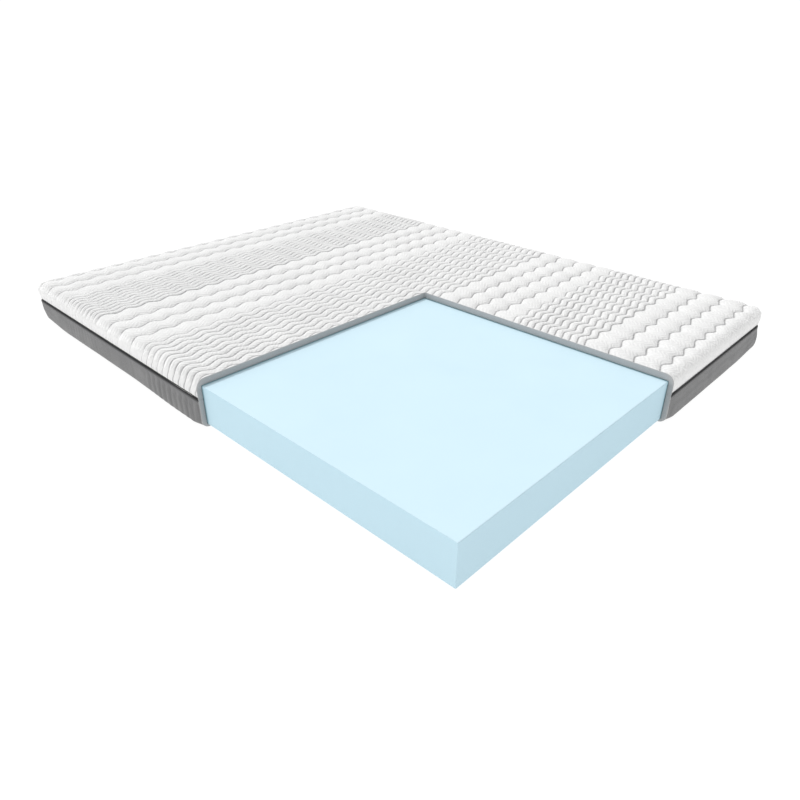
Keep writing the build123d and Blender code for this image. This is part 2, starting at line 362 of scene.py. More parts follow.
def tint(nodes, links, colour, share, by):
    """Multiplies a colour by another one, as far as the share says."""
    mix = nodes.new("ShaderNodeMix")
    mix.data_type = "RGBA"
    mix.blend_type = "MULTIPLY"
    mix.inputs["B"].default_value = by
    links.new(share, mix.inputs["Factor"])
    links.new(colour, mix.inputs["A"])
    return mix.outputs["Result"]


def height_of(nodes, links, source):
    """The Z part of a place or of a facing direction."""
    parts = nodes.new("ShaderNodeSeparateXYZ")
    links.new(source, parts.inputs["Vector"])
    return parts.outputs["Z"]


# Painted light: the binding is painted paler along the top of the cover, standing in for light from
# above.
TOP_EDGE_PAINTED_LIGHT = (1.15, 1.15, 1.15, 1)


def woven_material(name, dark, light, thread_scale, sheen):
    """A plain woven tape: crossed threads, slight streaks along it, and painted light that makes it a
    little paler at the top edge.
    """
    material, nodes, links, shader = new_material(name)
    where = coordinates(nodes, links, (1, 1, 1))
    warp = wave(nodes, links, where, thread_scale, "DIAGONAL", 0.4)
    weft = wave(nodes, links, where, thread_scale, "Z", 0.4)
    weave = math_node(nodes, links, "MULTIPLY", warp, weft)
    streaks = noise(nodes, links, where, 0.35, 4.0, 0.6)
    tone = mixed_tone(nodes, links, weave, 0.5, streaks, 0.6)
    colour = ramp(nodes, links, tone, ((0.1, dark), (0.9, light)))
    # Painted light, growing from 12 mm below the foam's top upward.
    place = nodes.new("ShaderNodeTexCoord").outputs["Object"]
    level = height_of(nodes, links, place)
    painted_top_light = value_range(nodes, links, level, CAVITY_TOP - 0.012, CAVITY_TOP, 0.0, 1.0)
    links.new(tint(nodes, links, colour, painted_top_light, TOP_EDGE_PAINTED_LIGHT), shader.inputs["Base Color"])
    links.new(bump(nodes, links, tone, 0.5, 0.0004), shader.inputs["Normal"])
    links.new(value_range(nodes, links, streaks, 0.2, 0.8, 0.65, 0.85), shader.inputs["Roughness"])
    shader.inputs["Sheen Weight"].default_value = sheen
    return material


def bottom_fabric_material():
    """Grey woven underside with rows of small raised grip dots."""
    material, nodes, links, shader = new_material("bottom_fabric")
    where = coordinates(nodes, links, (1, 1, 1))
    warp = wave(nodes, links, where, 0.5, "X")
    weft = wave(nodes, links, where, 0.5, "Y")
    weave = math_node(nodes, links, "MULTIPLY", warp, weft)
    grains = voronoi(nodes, links, coordinates(nodes, links, (1, 1, 0)), 0.125, "F1", 0.0)
    dots = value_range(nodes, links, grains, 0.14, 0.20, 1.0, 0.0)
    fuzz = noise(nodes, links, where, 0.6, 4.0)
    tone = mixed_tone(nodes, links, weave, 0.4, fuzz, 0.6)
    tone = math_node(nodes, links, "MULTIPLY", tone, value_range(nodes, links, dots, 0.0, 1.0, 1.0, 0.35))
    colour = ramp(nodes, links, tone, ((0.0, (0.07, 0.07, 0.072)), (0.8, (0.25, 0.25, 0.252))))
    links.new(colour, shader.inputs["Base Color"])
    cloth = bump(nodes, links, weave, 0.5, 0.0003)
    links.new(bump(nodes, links, dots, 0.8, 0.0006, cloth), shader.inputs["Normal"])
    links.new(value_range(nodes, links, dots, 0.0, 1.0, 0.88, 0.5), shader.inputs["Roughness"])
    return material


def shade_by_cover(nodes, links, colour):
    """Paints a blue-green shadow on the foam in a line along the cover's cut edge, where the edge sits
    against it.
    """
    where = nodes.new("ShaderNodeTexCoord")
    parts = nodes.new("ShaderNodeSeparateXYZ")
    links.new(where.outputs["Object"], parts.inputs["Vector"])
    from_x = math_node(nodes, links, "SUBTRACT", CUT_X, parts.outputs["X"])
    from_y = math_node(nodes, links, "SUBTRACT", CUT_Y, parts.outputs["Y"])
    nearest = math_node(nodes, links, "MINIMUM", from_x, from_y)
    outside = value_range(nodes, links, nearest, 0.0005, 0.0085, 0.0, 1.0)
    inside = value_range(nodes, links, nearest, -0.004, -0.012, 0.0, 1.0)
    beyond_painted_shadow = math_node(nodes, links, "MAXIMUM", outside, inside)
    mix = nodes.new("ShaderNodeMix")
    mix.data_type = "RGBA"
    # The colour of the painted shadow.
    mix.inputs["A"].default_value = (0.20, 0.36, 0.41, 1)
    links.new(beyond_painted_shadow, mix.inputs["Factor"])
    links.new(colour, mix.inputs["B"])
    return mix.outputs["Result"]


# Painted shade: upward faces of the foam are painted darker and bluer than its sides, to set the top's
# brightness against the sides.
FOAM_TOP_PAINTED_SHADE = (0.93, 0.885, 0.875, 1)
FOAM_TONES = ((0.1, (0.46, 0.67, 0.76)), (0.5, (0.555, 0.755, 0.85)), (0.9, (0.58, 0.785, 0.88)))


def foam_material():
    """Pale blue viscoelastic foam: fine open cells, a few larger pores and faint cloudy tone; its upward
    faces are painted darker than its sides, and a shadow is painted along the cover's cut edge.
    """
    material, nodes, links, shader = new_material("memory_foam")
    where = coordinates(nodes, links, (1, 1, 1))
    cells = voronoi(nodes, links, where, 1.1, "SMOOTH_F1")
    pores = voronoi(nodes, links, where, 0.16)
    pits = value_range(nodes, links, pores, 0.05, 0.16, 0.0, 1.0)
    clouds = noise(nodes, links, where, 0.006, 3.0)
    grain = noise(nodes, links, where, 0.7, 5.0, 0.65)
    tone = mixed_tone(nodes, links, cells, 0.25, clouds, 0.45)
    tone = math_node(nodes, links, "MULTIPLY_ADD", grain, 0.25, tone)
    tone = math_node(nodes, links, "MULTIPLY_ADD", pits, 0.12, tone)
    # Painted shade by facing: the more a face looks upward, the darker it is painted.
    facing = nodes.new("ShaderNodeNewGeometry").outputs["Normal"]
    skin = value_range(nodes, links, height_of(nodes, links, facing), 0.3, 0.9, 0.0, 1.0)
    colour = tint(nodes, links, ramp(nodes, links, tone, FOAM_TONES), skin, FOAM_TOP_PAINTED_SHADE)
    links.new(shade_by_cover(nodes, links, colour), shader.inputs["Base Color"])
    fine = bump(nodes, links, cells, 0.35, 0.0004)
    fine = bump(nodes, links, grain, 0.25, 0.0005, fine)
    links.new(bump(nodes, links, pits, 0.5, 0.0004, fine), shader.inputs["Normal"])
    links.new(value_range(nodes, links, grain, 0.2, 0.8, 0.75, 0.95), shader.inputs["Roughness"])
    shader.inputs["Specular IOR Level"].default_value = 0.25
    return material


def teeth_material():
    """Dark nylon of the zip coil, slightly glossy, dulled in places."""
    material, nodes, links, shader = new_material("zip_teeth")
    where = coordinates(nodes, links, (1, 1, 1))
    wear = noise(nodes, links, where, 0.3, 3.0)
    colour = ramp(nodes, links, wear, ((0.3, (0.055, 0.055, 0.058)), (0.7, (0.125, 0.125, 0.13))))
    links.new(colour, shader.inputs["Base Color"])
    links.new(value_range(nodes, links, wear, 0.3, 0.7, 0.30, 0.5), shader.inputs["Roughness"])
    links.new(bump(nodes, links, wear, 0.2, 0.0002), shader.inputs["Normal"])
    return material


def zip_metal_material():
    """Dark lacquered die-cast zinc with the lacquer rubbed thin here and there."""
    material, nodes, links, shader = new_material("zip_metal")
    where = coordinates(nodes, links, (1, 1, 1))
    wear = noise(nodes, links, where, 0.5, 6.0, 0.7)
    scratches = noise(nodes, links, coordinates(nodes, links, (1, 0.15, 3)), 2.5, 3.0)
    worn = value_range(nodes, links, wear, 0.58, 0.72, 0.0, 1.0)
    colour = ramp(nodes, links, worn, ((0.0, (0.045, 0.045, 0.05)), (1.0, (0.42, 0.42, 0.43))))
    links.new(colour, shader.inputs["Base Color"])
    links.new(value_range(nodes, links, scratches, 0.3, 0.7, 0.22, 0.42), shader.inputs["Roughness"])
    links.new(bump(nodes, links, scratches, 0.15, 0.0002), shader.inputs["Normal"])
    shader.inputs["Metallic"].default_value = 0.85
    return material


WHITE_KNIT = white_knit_material()
LINING = lining_material()
GREY_KNIT = grey_knit_material()
BINDING_CLOTH = woven_material("grey_binding", (0.33, 0.335, 0.34), (0.46, 0.465, 0.47), 0.55, 0.15)
ZIP_TAPE = woven_material("zip_tape", (0.055, 0.055, 0.057), (0.12, 0.12, 0.123), 0.6, 0.1)
BOTTOM_FABRIC = bottom_fabric_material()
FOAM = foam_material()
ZIP_TEETH = teeth_material()
ZIP_METAL = zip_metal_material()


# ---------------------------------------------------------------- the quilted top

# Quilting zones from the head end: the place along the length where each ends, measured from the
# foam's head edge, its number of channels, and whether they are wide puffs or fine ribs
QUILT_START = -0.058
ZONES = (
    (0.234, 4, "wide"),
    (0.472, 10, "fine"),
    (0.778, 4, "wide"),
    (1.134, 12, "fine"),
    (1.443, 4, "wide"),
    (1.698, 10, "fine"),
    (1.932, 3, "wide"),
    (2.060, 1, "wide"),
)
ROWS_IN = {"wide": 11, "fine": 6}
PUFF_HEIGHT = {"wide": 0.0094, "fine": 0.0052}
PUFF_POWER = {"wide": 3.1, "fine": 2.2}
LINE_SWING = {"wide": 0.0072, "fine": 0.0070}
WAVE_LENGTH = 0.076
WAVE_START = 0.78
WAVE_SKEW = 0.12
CREST = 0.0016
COLUMNS = 300


def line_wave(across, along, swing):
    """How far a quilting line swings towards the foot, at a place across the width."""
    phase = 2 * math.pi * ((across + FOAM_HIGH.x) / WAVE_LENGTH - WAVE_START)
    phase = phase + 0.35 * soft_noise(across * 0, along, 0.6, 5)
    phase = phase + 0.15 * soft_noise(across, along, 0.25, 6)
    return swing * (np.cos(phase) - WAVE_SKEW * np.sin(2 * phase)), phase


def quilt_channels():
    """Every quilted channel: where it starts and ends, its kind, and the depth of both its lines."""
    channels = []
    start = QUILT_START
    for end, count, kind in ZONES:
        width = (end - start) / count
        channels += [(start + i * width, start + (i + 1) * width, kind) for i in range(count)]
        start = end
    depths = [PUFF_HEIGHT[kind] for _, _, kind in channels]
    line_depths = [depths[0]] + [min(pair) for pair in zip(depths, depths[1:])] + [depths[-1]]
    return [(*channel, line_depths[i], line_depths[i + 1]) for i, channel in enumerate(channels)]


def quilt_rows():
    """The rows of the quilted mesh: place along the length, share of the channel, kind, channel width
    and depth of the nearer line."""
    rows = []
    for start, end, kind, first_depth, last_depth in quilt_channels():
        for step in range(ROWS_IN[kind]):
            share = (1 - math.cos(math.pi * step / ROWS_IN[kind])) / 2
            depth = first_depth if share < 0.5 else last_depth
            rows.append((start + share * (end - start), share, kind, end - start, depth))
    return rows


def edge_wrap(p, q, edge_radius, top_z, direction):
    """Wraps flat cloth coordinates over the mattress's rounded edge: points and outward normals.
    direction is -1 for a top whose sides hang down, and 1 for an underside whose sides go up."""
    flat_x, flat_y = HALF_X - PLAN_RADIUS, HALF_Y - PLAN_RADIUS
    over_x = np.maximum(np.abs(p) - flat_x, 0)
    over_y = np.maximum(np.abs(q) - flat_y, 0)
    reach = np.maximum(over_x, over_y)
    small = np.minimum(over_x, over_y)
    turn = math.pi / 4 * small / np.maximum(reach, 1e-9)
    turn = np.where(over_y > over_x, math.pi / 2 - turn, turn)
    out_x, out_y = np.sign(p) * np.cos(turn), np.sign(q) * np.sin(turn)
    flat = PLAN_RADIUS - edge_radius
    bend = np.clip((reach - flat) / edge_radius, 0, math.pi / 2)
    straight = np.maximum(reach - flat - edge_radius * math.pi / 2, 0)
    radial = np.minimum(reach, flat) + edge_radius * np.sin(bend)
    drop = edge_radius * (1 - np.cos(bend)) + straight
    x = np.clip(p, -flat_x, flat_x) + radial * out_x
    y = np.clip(q, -flat_y, flat_y) + radial * out_y
    z = top_z + direction * drop
    normal = np.stack([np.sin(bend) * out_x, np.sin(bend) * out_y, -direction * np.cos(bend)], -1)
    return np.stack([x, y, z], -1), normal


def skirt_reach(edge_radius, height):
    """The cloth length from the flat part's end, over the edge, to a height down the side."""
    return PLAN_RADIUS - edge_radius + edge_radius * math.pi / 2 + height - edge_radius


def quilted_surface():
    """The outer face of the quilted top as a grid: points, distance to the stitching, place along it, and
    how much painted light its side faces get.
    """
    reach = skirt_reach(TOP_EDGE_RADIUS, TOP_Z - GROOVE_TOP)
    limit_x = HALF_X - PLAN_RADIUS + reach
    limit_y = HALF_Y - PLAN_RADIUS + reach
    head = FOAM_HIGH.y
    rows = [row for row in quilt_rows() if abs(head - row[0]) < limit_y - 0.0015]
    first, last = rows[0], rows[-1]
    rows.insert(0, (head - limit_y, *first[1:]))
    rows.append((head + limit_y, *last[1:]))
    along = np.array([row[0] for row in rows])[:, None]
    share = np.array([row[1] for row in rows])[:, None]
    width = np.array([row[3] for row in rows])[:, None]
    height = np.array([row[4] for row in rows])[:, None]
    power = np.array([PUFF_POWER[row[2]] for row in rows])[:, None]
    swing = np.array([LINE_SWING[row[2]] for row in rows])[:, None]
    p = np.linspace(-limit_x, limit_x, COLUMNS)[None, :] * np.ones_like(along)
    end_room = np.minimum(along - (head - limit_y), (head + limit_y) - along)
    swing = swing * smoothstep(0.0, 0.02, end_room)
    shift, phase = line_wave(p, along, swing)
    q = head - along - shift
    q = np.clip(q, -limit_y, limit_y)
    points, normal = edge_wrap(p, q, TOP_EDGE_RADIUS, TOP_Z, -1)

    rise = 1 - np.abs(2 * share - 1) ** power
    swell = 1 + 0.16 * np.sin(phase + 0.6) * (height > 0.005) + 0.10 * soft_noise(p, q, 0.07, 11)
    side = smoothstep(HALF_X - PLAN_RADIUS + 0.02, HALF_X - PLAN_RADIUS + 0.05, np.abs(p))
    swell = swell * (1 - 0.55 * side * smoothstep(-0.1, 0.5, q))
    near_line = np.exp(-np.minimum(share, 1 - share) * width / 0.012)
    pucker = 0.0008 * soft_noise(p, q * 0.25, 0.022, 14) * near_line
    puff = CREST - height * swell * (1 - rise) + pucker * rise
    puff = puff + 0.0007 * soft_noise(p, q, 0.22, 12) * rise + 0.0004 * soft_noise(p, q, 0.03, 13) * rise
    skirt_room = np.minimum(limit_x - np.abs(p), limit_y - np.abs(q))
    cut_room = np.maximum(p - CUT_X - BINDING, q - CUT_Y - BINDING)
    pinch = smoothstep(-0.001, 0.013, skirt_room) * smoothstep(-0.001, 0.014, np.abs(cut_room))
    puff = puff * pinch - 0.0012 * (1 - pinch)
    points = points + normal * puff[..., None]
    distance = np.minimum(share, 1 - share) * width * np.ones_like(p)
    # Fades the painted crease shade and the stitch threads on the long sides towards the head end, by
    # moving them away from the lines.
    distance = distance + 0.003 * side * smoothstep(-0.1, 0.5, q)
    # Painted light on the cover's sides: full within about 26 mm of the cloth's edge at the zip, none
    # beyond 62 mm, and eased to about half at the edge itself.
    skirt_painted_light = 1 - smoothstep(0.026, 0.062, skirt_room)
    skirt_painted_light = skirt_painted_light * (0.45 + 0.55 * smoothstep(0.0, 0.03, skirt_room))
    return points, distance, p, skirt_painted_light


def remove_cutaway(bm):
    """Cuts the missing corner out of the grid, along two upright planes."""
    planes = (((CUT_X + BINDING, 0, 0), (1, 0, 0)), ((0, CUT_Y + BINDING, 0), (0, 1, 0)))
    for place, normal in planes:
        whole = bm.verts[:] + bm.edges[:] + bm.faces[:]
        bmesh.ops.bisect_plane(bm, geom=whole, dist=1e-6, plane_co=place, plane_no=normal)
    inside = [
        face for face in bm.faces
        if face.calc_center_median().x < CUT_X + BINDING and face.calc_center_median().y < CUT_Y + BINDING
    ]
    bmesh.ops.delete(bm, geom=inside, context="FACES")


def boundary_loop(bm):
    """The open edge of the mesh as one ordered loop of vertices."""
    open_edges = {edge for edge in bm.edges if edge.is_boundary}
    start = next(iter(open_edges))
    loop, vertex = [start.verts[0]], start.verts[1]
    open_edges.remove(start)
    while vertex is not loop[0]:
        loop.append(vertex)
        following = next(edge for edge in vertex.link_edges if edge in open_edges)
        open_edges.remove(following)
        vertex = following.other_vert(vertex)
    return loop


def inner_place(vertex, z):
    """Where a point of the outer side face comes on the lining's face."""
    flat_x, flat_y = HALF_X - PLAN_RADIUS, HALF_Y - PLAN_RADIUS
    centre = Vector((max(-flat_x, min(flat_x, vertex.x)), max(-flat_y, min(flat_y, vertex.y)), 0))
    out = Vector((vertex.x - centre.x, vertex.y - centre.y, 0))
    out.normalize()
    place = centre + out * (PLAN_RADIUS - CAVITY_DEPTH)
    return (place.x, place.y, z)


def close_top(bm, loop):
    """Closes the quilted top: cut faces, turned-in hem, lining walls and lining ceiling."""
    plane_x, plane_y = CUT_X + BINDING, CUT_Y + BINDING
    on_x = [abs(v.co.x - plane_x) < 2e-6 and v.co.y < plane_y + 2e-6 for v in loop]
    on_y = [abs(v.co.y - plane_y) < 2e-6 and v.co.x < plane_x + 2e-6 for v in loop]
    on_cut = [a or b for a, b in zip(on_x, on_y)]
    count = len(loop)
    start = next(i for i in range(count) if on_cut[i] and not on_cut[i - 1])
    loop = loop[start:] + loop[:start]
    on_cut = on_cut[start:] + on_cut[:start]
    cut_count = sum(on_cut)
    cut, hem = loop[:cut_count], [loop[cut_count - 1]] + loop[cut_count:] + [loop[0]]
    corner = max(range(cut_count), key=lambda i: cut[i].co.x + cut[i].co.y)
    rim = [bm.verts.new(inner_place(v.co, GROOVE_TOP)) for v in hem]
    ceiling = [bm.verts.new(inner_place(v.co, CAVITY_TOP)) for v in hem]
    inner_corner = bm.verts.new((plane_x, plane_y, CAVITY_TOP))
    made = []
    for i in range(len(hem) - 1):
        made.append(bm.faces.new((hem[i], hem[i + 1], rim[i + 1], rim[i])))
        made.append(bm.faces.new((rim[i], rim[i + 1], ceiling[i + 1], ceiling[i])))
    made.append(bm.faces.new(ceiling + [inner_corner]))
    made.append(bm.faces.new(cut[:corner + 1] + [inner_corner, ceiling[-1], rim[-1]]))
    made.append(bm.faces.new(cut[corner:] + [rim[0], ceiling[0], inner_corner]))
    return made


def quilted_top():
    points, distance, run, skirt_painted_light = quilted_surface()
    rows, columns = points.shape[:2]
    faces = grid_faces(rows, columns)
    piece = make_piece("quilted_top", points.reshape(-1, 3), faces, [WHITE_KNIT, LINING])
    add_attribute(piece, "seam_distance", distance.ravel())
    add_attribute(piece, "seam_run", run.ravel())
    add_attribute(piece, "skirt_painted_light", skirt_painted_light.ravel())
    bm = bmesh.new()
    bm.from_mesh(piece.data)
    remove_cutaway(bm)
    for face in close_top(bm, boundary_loop(bm)):
        face.material_index = 1
        face.smooth = False
    bmesh.ops.recalc_face_normals(bm, faces=bm.faces[:])
    seam = bm.verts.layers.float["seam_distance"]
    for face in bm.faces:
        if face.material_index == 1:
            for vertex in face.verts:
                if all(f.material_index == 1 for f in vertex.link_faces):
                    vertex[seam] = 1.0
    bm.to_mesh(piece.data)
    bm.free()
    sharpen(piece, 62)
    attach(piece, "upper_cover")
    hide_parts("top_knit", "top_wadding", "top_lining")


# ---------------------------------------------------------------- strips that run round the side

def perimeter(step, start_margin=BINDING):
    """Places round the mattress from the left cut to the foot cut: points on the outer face, outward
    directions and distances along."""
    flat_x, flat_y = HALF_X - PLAN_RADIUS, HALF_Y - PLAN_RADIUS
    quarter = PLAN_RADIUS * math.pi / 2
    corners = (((-flat_x, flat_y), math.pi), ((flat_x, flat_y), math.pi / 2), ((flat_x, -flat_y), 0.0))
    lengths = [flat_y - CUT_Y - start_margin, 2 * flat_x, 2 * flat_y, flat_x - CUT_X - start_margin]
    starts = [(-HALF_X, CUT_Y + start_margin), (-flat_x, HALF_Y), (HALF_X, flat_y), (flat_x, -HALF_Y)]
    ways = [(0, 1), (1, 0), (0, -1), (-1, 0)]
    outs = [(-1, 0), (0, 1), (1, 0), (0, -1)]
    places, outward, travelled = [], [], []
    total = 0.0
    for side in range(4):
        count = max(2, round(lengths[side] / step))
        for i in range(count):
            run = lengths[side] * i / count
            places.append((starts[side][0] + ways[side][0] * run, starts[side][1] + ways[side][1] * run))
            outward.append(outs[side])
            travelled.append(total + run)
        total += lengths[side]
        if side == 3:
            break
        count = max(6, round(quarter / step))
        centre, first_angle = corners[side]
        for i in range(count):
            angle = first_angle - math.pi / 2 * i / count
            out = (math.cos(angle), math.sin(angle))
            places.append((centre[0] + PLAN_RADIUS * out[0], centre[1] + PLAN_RADIUS * out[1]))
            outward.append(out)
            travelled.append(total + quarter * i / count)
        total += quarter
    places.append((CUT_X + start_margin, -HALF_Y))
    outward.append(outs[3])
    travelled.append(total)
    return np.array(places), np.array(outward), np.array(travelled)


def sweep(name, section, step, materials, relief=None, material_of_point=None, start_margin=BINDING):
    """Sweeps a closed section of (depth, height) points round the side, capped at both ends."""
    places, outward, travelled = perimeter(step, start_margin)
    section = np.array(section)
    depth = section[None, :, 0] + np.zeros((len(places), 1))
    height = section[None, :, 1] + np.zeros((len(places), 1))
    if relief is not None:
        push_out, push_up = relief(places, outward, travelled, section)
        depth = depth - push_out
        height = height + push_up
    x = places[:, 0, None] - outward[:, 0, None] * depth
    y = places[:, 1, None] - outward[:, 1, None] * depth
    points = np.stack([x, y, height], -1).reshape(-1, 3)
    rows, columns = len(places), len(section)
    faces = grid_faces(rows, columns, close_columns=True)
    face_material = None
    if material_of_point is not None:
        face_material = list(material_of_point) * (rows - 1)
    faces.append(list(range(columns)))
    faces.append(list(range((rows - 1) * columns, rows * columns))[::-1])
    if face_material is not None:
        face_material = face_material + [1, 1]
    piece = make_piece(name, points, faces, materials, face_material)
    bm = bmesh.new()
    bm.from_mesh(piece.data)
    bmesh.ops.recalc_face_normals(bm, faces=bm.faces[:])
    bm.to_mesh(piece.data)
    bm.free()
    sharpen(piece, 50)
    return piece


def arc(centre, radius, first, last, count):
    """Points on an arc in a section, from one angle to another, in degrees."""
    angles = np.radians(np.linspace(first, last, count))
    return [(centre[0] + radius * math.cos(a), centre[1] + radius * math.sin(a)) for a in angles]


RIB_DEPTH = {"wide": 0.0012, "fine": 0.0028}
MARGIN = 0.0045
BAND_BULGE = 0.0035
TIGHT_EDGE_RADIUS = 0.010
HEAD_TUCK = 0.007
HEAD_LIFT = 0.0035
FOOT_SWELL = 0.006


def side_fullness(places, outward):
    """How full the padded band is: 1 along the foot side and by the left cut, 0 at the corners."""
    x, y = places[:, 0], places[:, 1]
    flat_x, flat_y = HALF_X - PLAN_RADIUS, HALF_Y - PLAN_RADIUS
    along_foot = smoothstep(CUT_X, CUT_X + 0.05, x) * smoothstep(0.0, 0.16, flat_x - x)
    along_left = smoothstep(CUT_Y, CUT_Y + 0.05, y) * (1 - smoothstep(0.0, 0.35, y))
    across = smoothstep(0.0, 0.2, flat_x - np.abs(x))
    along = smoothstep(0.0, 0.2, flat_y - np.abs(y))
    full = np.where(outward[:, 1] < -0.99, along_foot, 0.0)
    full = np.where(outward[:, 0] < -0.99, along_left, full)
    full = np.where(outward[:, 1] > 0.99, across * 0.7, full)
    return np.where(outward[:, 0] > 0.99, along * 0.7, full)


def near_corner(places):
    """How near a place is to the corners at the head end and to those at the foot end, 0 to 1."""
    x, y = places[:, 0], places[:, 1]
    reach = smoothstep(0.22, 0.0, HALF_X - np.abs(x)) * smoothstep(0.22, 0.0, HALF_Y - np.abs(y))
    return (reach * (y > 0))[:, None], (reach * (y < 0))[:, None]


def band_relief(places, outward, travelled, section):
    """Soft upright ribs in the side band, in line with the fine quilting, and gentle puffs elsewhere."""
    along = FOAM_HIGH.y - places[:, 1]
    rib = np.zeros(len(places))
    for start, end, kind, _, _ in quilt_channels():
        share = (along - start) / (end - start)
        inside = (share >= 0) & (share < 1)
        rib = np.where(inside, -RIB_DEPTH[kind] * np.abs(2 * share - 1) ** 2.2, rib)
    rib = rib * (1 - 0.7 * smoothstep(0.1, 0.5, places[:, 1]))
    side_face = np.abs(outward[:, 0]) > 0.99
    rib = np.where(side_face, rib, -0.0004)
    low, high = BAND_LOW + BOTTOM_EDGE_RADIUS, GROOVE_BOTTOM
    height = section[:, 1]
    outer = (section[:, 0] < BOTTOM_EDGE_RADIUS) & (height > BAND_LOW + 1e-6)
    fade = smoothstep(BAND_LOW + 0.004, low, height) * smoothstep(MARGIN, MARGIN + 0.010, high - height)
    push = rib[:, None] * fade[None, :]
    sag = 0.0009 * soft_noise(travelled[:, None], height[None, :] * 1.5, 0.16, 21) * fade[None, :]
    full = side_fullness(places, outward)[:, None]
    share = np.clip((high - MARGIN - height) / (high - MARGIN - BAND_LOW), 0, 1)[None, :]
    bulge = (0.0008 + BAND_BULGE * full) * np.sin(math.pi * share ** 1.3)
    tighter = full * (1 - TIGHT_EDGE_RADIUS / BOTTOM_EDGE_RADIUS)
    in_arc = height - BAND_LOW
    over_arc = BOTTOM_EDGE_RADIUS * (high - height) / (high - low)
    drop = np.where(height < low, in_arc, over_arc)[None, :]
    head, foot = near_corner(places)
    tuck = HEAD_TUCK * head * smoothstep(0.15, 0.9, share)
    swell = FOOT_SWELL * foot * np.sin(math.pi * share)
    push = (push + sag + bulge + section[None, :, 0] * tighter - tuck + swell) * outer[None, :]
    lift = HEAD_LIFT * head * smoothstep(0.45, 1.0, share)
    return push, (lift - drop * tighter) * outer[None, :]


def side_band():
    """The grey side band with its turned-in hem, its wadding and the lining inside it."""
    hem = 0.0009
    outer = arc((hem, GROOVE_BOTTOM - hem), hem, 90, 180, 5)
    heights = np.linspace(GROOVE_BOTTOM - hem, BAND_LOW + BOTTOM_EDGE_RADIUS, 12)[1:-1]
    outer += [(0.0, z) for z in heights]
    outer += arc((BOTTOM_EDGE_RADIUS, BAND_LOW + BOTTOM_EDGE_RADIUS), BOTTOM_EDGE_RADIUS, 180, 270, 9)
    lining_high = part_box("lower_lining")[1].z
    inner = [
        (SEAM_DEPTH - 0.001, BAND_LOW),
        (SEAM_DEPTH, BAND_LOW + 0.001),
        (SEAM_DEPTH, CAVITY_LOW),
        (CAVITY_DEPTH, CAVITY_LOW),
        (CAVITY_DEPTH, lining_high),
        (LINING_FRONT, lining_high),
        (LINING_FRONT, GROOVE_BOTTOM),
        (TAPE_FRONT, GROOVE_BOTTOM),
    ]
    kinds = [0] * len(outer) + [0, 0] + [1] * (len(inner) - 2)
    piece = sweep("side_band", outer + inner, 0.0045, [GREY_KNIT, LINING], band_relief, kinds)
    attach(piece, "lower_cover")
    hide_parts("side_band_knit", "side_band_wadding", "lower_lining")


TAPE_THICKNESS = 0.001
FLANGE_THICKNESS = 0.0004
SKIN = 0.00003
FLANGE_EDGE = 0.0010


def zip_tape(name, node, body, hem_z, into_groove, margin):
    """One woven zip tape: upright behind the teeth, turned out over the hem, and sewn down by a margin
    on the cover's face. into_groove is 1 where the groove is above the hem, and -1 where it is below."""
    low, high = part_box(node)[0].z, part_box(node)[1].z
    near, far = (high, low) if into_groove > 0 else (low, high)
    back, front = TAPE_FRONT + TAPE_THICKNESS, TAPE_FRONT + SKIN
    skin, cover = hem_z + into_groove * SKIN, hem_z + into_groove * FLANGE_THICKNESS
    face, foot = -FLANGE_THICKNESS, hem_z - into_groove * margin
    section = [(back, far), (front, far), (front, skin)]
    if margin:
        section += [(0.0002, skin), (-SKIN, hem_z - into_groove * 0.0009), (-SKIN, foot), (face, foot)]
        section += [(face, hem_z - into_groove * 0.0006), (face * 0.3, cover)]
    else:
        section += [(FLANGE_EDGE, skin), (FLANGE_EDGE - 0.0002, (skin + cover) / 2), (FLANGE_EDGE, cover)]
    section += [(TAPE_FRONT, cover), (TAPE_FRONT, near), (back, near)]
    piece = sweep(name, section, 0.02, [ZIP_TAPE])
    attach(piece, body)
    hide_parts(node)
    perimeter(0.02)[2][-1]


TOOTH_PITCH = 0.0030
TOOTH_WIDTH = 0.0019


def zip_teeth(name, node, body, low, high, offset, gap):
    """One row of coil teeth: rounded bars across the tape, one every pitch, left out in the gap."""
    places, outward, travelled = perimeter(0.004)
    count = int(travelled[-1] / TOOTH_PITCH) - 1
    distance = (np.arange(count) + 0.5 + offset) * TOOTH_PITCH
    x, y = (np.interp(distance, travelled, places[:, k]) for k in (0, 1))
    nx, ny = (np.interp(distance, travelled, outward[:, k]) for k in (0, 1))
    keep = ~((x > 0) & (nx > 0.9) & (y > gap[0]) & (y < gap[1]))
    x, y, nx, ny = x[keep], y[keep], nx[keep], ny[keep]
    angles = np.radians(np.arange(8) * 45 + 22.5)
    middle = (TEETH_FRONT + TAPE_FRONT) / 2
    half_depth = (TAPE_FRONT - TEETH_FRONT) / 2
    ring_along, ring_depth = TOOTH_WIDTH / 2 * np.cos(angles), half_depth * np.sin(angles)
    levels = ((low, 0.55), (low + 0.0005, 1.0), (high - 0.0005, 1.0), (high, 0.55))
    points = []
    for z, size in levels:
        depth = middle - ring_depth * size
        px = x[:, None] - nx[:, None] * depth + ny[:, None] * ring_along * size
        py = y[:, None] - ny[:, None] * depth - nx[:, None] * ring_along * size
        points.append(np.stack([px, py, np.full_like(px, z)], -1))
    points = np.stack(points, 1).reshape(-1, 3)
    single = [
        (level * 8 + k, level * 8 + (k + 1) % 8, (level + 1) * 8 + (k + 1) % 8, (level + 1) * 8 + k)
        for level in range(3) for k in range(8)
    ]
    caps = [list(range(8))[::-1], list(range(24, 32))]
    faces = []
    for tooth in range(len(x)):
        base = tooth * 32
        faces += [[base + i for i in face] for face in single + caps]
    piece = make_piece(name, points, faces, [ZIP_TEETH])
    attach(piece, body)
    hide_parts(node)


